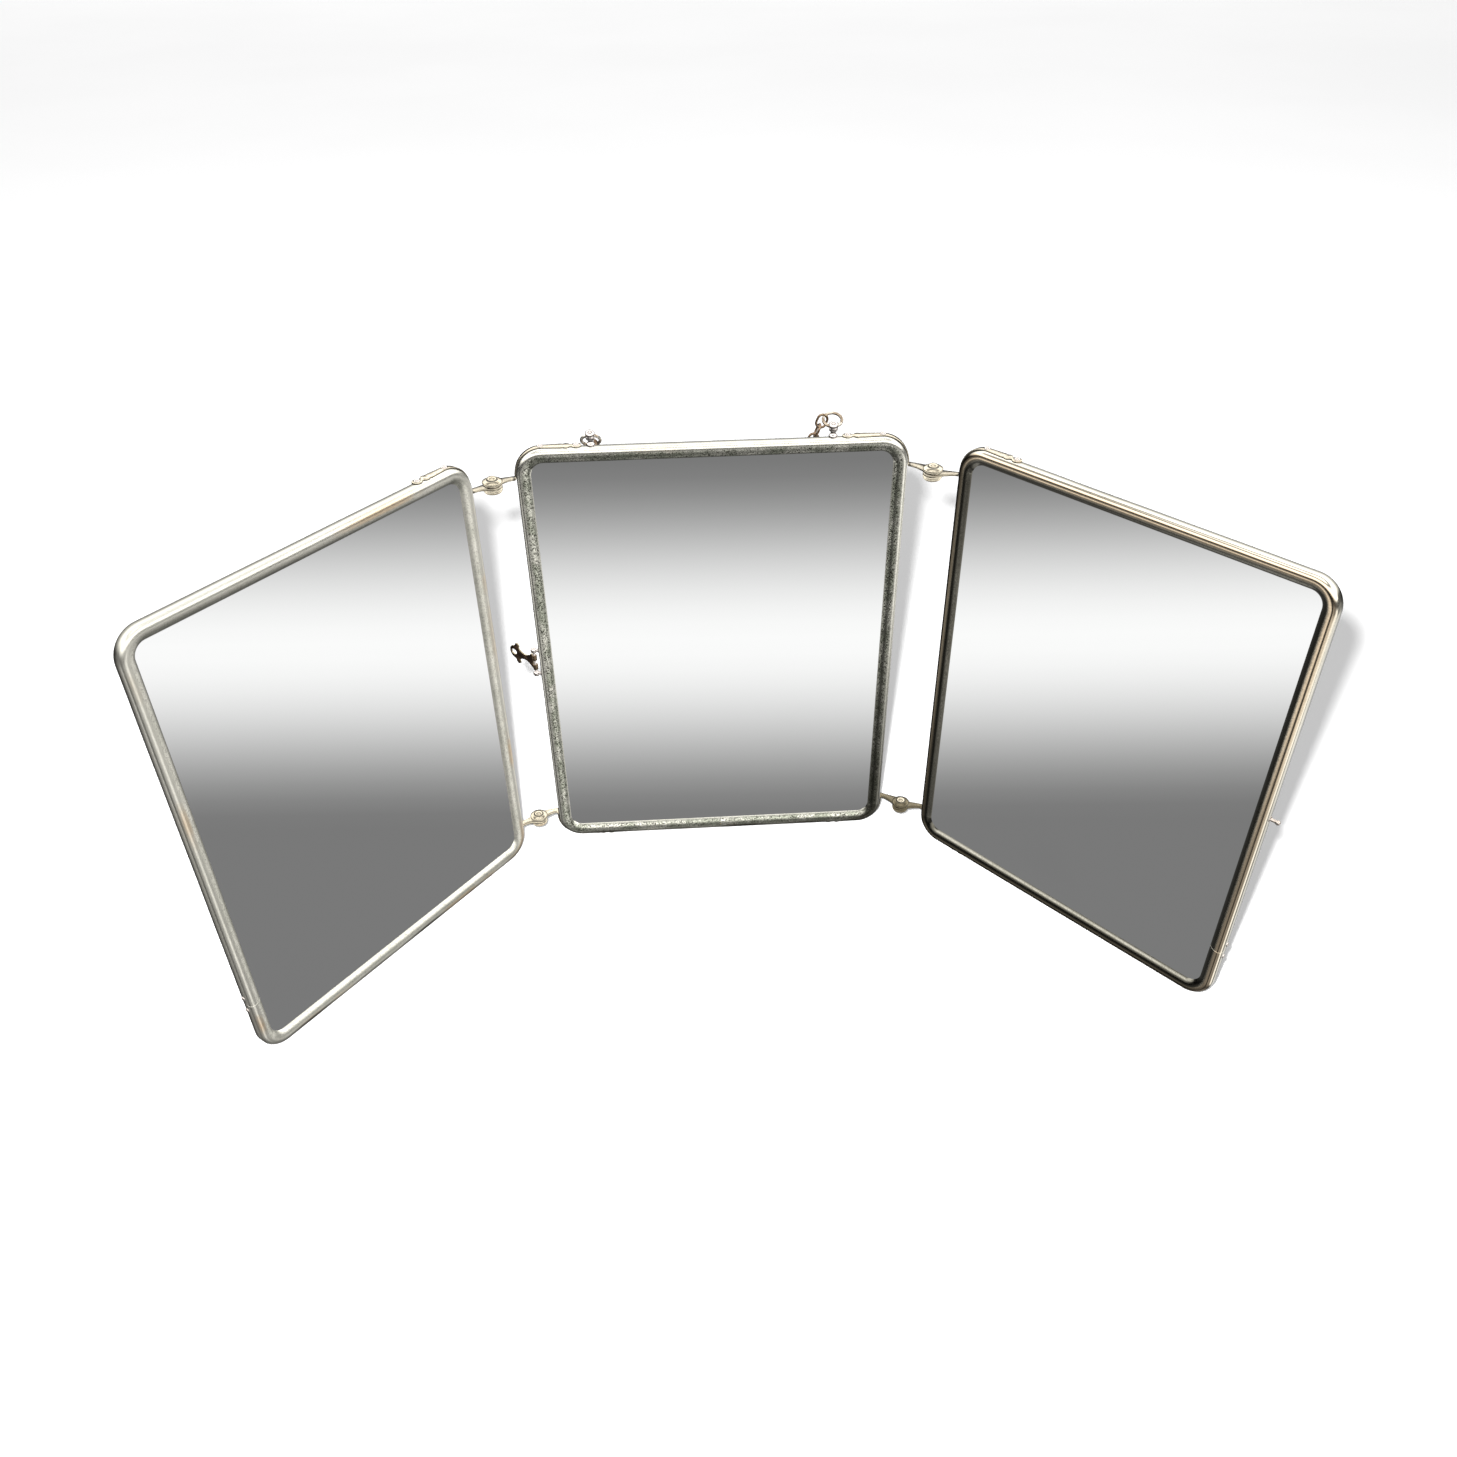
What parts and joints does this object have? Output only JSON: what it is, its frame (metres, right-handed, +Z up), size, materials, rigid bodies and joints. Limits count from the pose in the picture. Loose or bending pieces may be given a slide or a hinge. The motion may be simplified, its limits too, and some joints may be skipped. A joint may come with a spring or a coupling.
{
  "type": "folding triptych mirror",
  "caption": "Folding table mirror: framed panels side by side on riveted friction hinges, with a swinging latch and a hanging chain.",
  "frame": {"origin": "bottom centre of the whole object's bounding box at rest; the underside of the bottom hinge straps is z = 0", "axes": "+Z up, the mirror faces look towards -Y, +X to the viewer's right"},
  "size_m": [0.5043, 0.1838, 0.2612],
  "materials": {
    "moulding_nickel": "worn nickel plate over brass, polished on top, pitted on the inner slope",
    "mirror_glass": "silvered plate glass",
    "card": "plain packing card",
    "back_board": "black grained pressed board",
    "raw_brass": "unplated",
    "chain_brass": "tarnished",
    "latch_bronze": "dark tarnished plate with worn bright edges",
    "hinge_nickel": "worn nickel plate over brass",
    "fitting_nickel": "worn nickel plate over brass, polished on the balls"
  },
  "bodies": {
    "center_panel": {"frame_center": "moulding_nickel", "glass_center": "mirror_glass", "card_center": "card", "back_center": "back_board", "joint_plate_center": "raw_brass", "joint_pins_center": "fitting_nickel", "strap_rivets_center": "hinge_nickel", "hinge_top_left_center_strap": "hinge_nickel", "hinge_top_left_washer": "hinge_nickel", "hinge_top_left_upper_cup": "hinge_nickel", "hinge_top_left_lower_cup": "hinge_nickel", "hinge_top_left_rivet": "hinge_nickel", "hinge_bottom_left_center_strap": "hinge_nickel", "hinge_bottom_left_washer": "hinge_nickel", "hinge_bottom_left_upper_cup": "hinge_nickel", "hinge_bottom_left_lower_cup": "hinge_nickel", "hinge_bottom_left_rivet": "hinge_nickel", "hinge_top_right_center_strap": "hinge_nickel", "hinge_top_right_washer": "hinge_nickel", "hinge_top_right_upper_cup": "hinge_nickel", "hinge_top_right_lower_cup": "hinge_nickel", "hinge_top_right_rivet": "hinge_nickel", "hinge_bottom_right_center_strap": "hinge_nickel", "hinge_bottom_right_washer": "hinge_nickel", "hinge_bottom_right_upper_cup": "hinge_nickel", "hinge_bottom_right_lower_cup": "hinge_nickel", "hinge_bottom_right_rivet": "hinge_nickel", "latch_stud_upper": "fitting_nickel", "latch_stud_lower": "fitting_nickel", "latch_pin": "fitting_nickel", "chain_stud_left": "fitting_nickel", "chain_stud_right": "fitting_nickel"},
    "left_panel": {"frame_left": "moulding_nickel", "glass_left": "mirror_glass", "card_left": "card", "back_left": "back_board", "joint_plate_left": "raw_brass", "joint_pins_left": "fitting_nickel", "strap_rivets_left": "hinge_nickel", "hinge_top_left_side_strap": "hinge_nickel", "hinge_bottom_left_side_strap": "hinge_nickel"},
    "right_panel": {"frame_right": "moulding_nickel", "glass_right": "mirror_glass", "card_right": "card", "back_right": "back_board", "joint_plate_right": "raw_brass", "joint_pins_right": "fitting_nickel", "strap_rivets_right": "hinge_nickel", "hinge_top_right_side_strap": "hinge_nickel", "hinge_bottom_right_side_strap": "hinge_nickel", "catch_pin": "fitting_nickel"},
    "latch": {"latch_plate": "latch_bronze"},
    "chain": {"chain_ring_left": "chain_brass", "chain_ring_right": "chain_brass", "chain_links": "chain_brass"}
  },
  "joints": [
    {"name": "left_fold", "type": "hinge", "parent": "center_panel", "child": "left_panel", "pos_m": [-0.11566, 0.07187, 0.001], "axis": [0, 0, 1], "range_deg": [-81.4, 128.6]},
    {"name": "right_fold", "type": "hinge", "parent": "center_panel", "child": "right_panel", "pos_m": [0.10674, 0.06827, 0.001], "axis": [0, 0, -1], "range_deg": [-80.1, 129.9]},
    {"name": "latch_swing", "type": "hinge", "parent": "center_panel", "child": "latch", "pos_m": [-0.10656, 0.07692, 0.126], "axis": [0, 0, 1], "range_deg": [-45, 135]},
    {"name": "chain_swing", "type": "hinge", "parent": "center_panel", "child": "chain", "pos_m": [-0.00446, 0.07692, 0.2565], "axis": [1, 0, 0], "range_deg": [0, 140]}
  ]
}
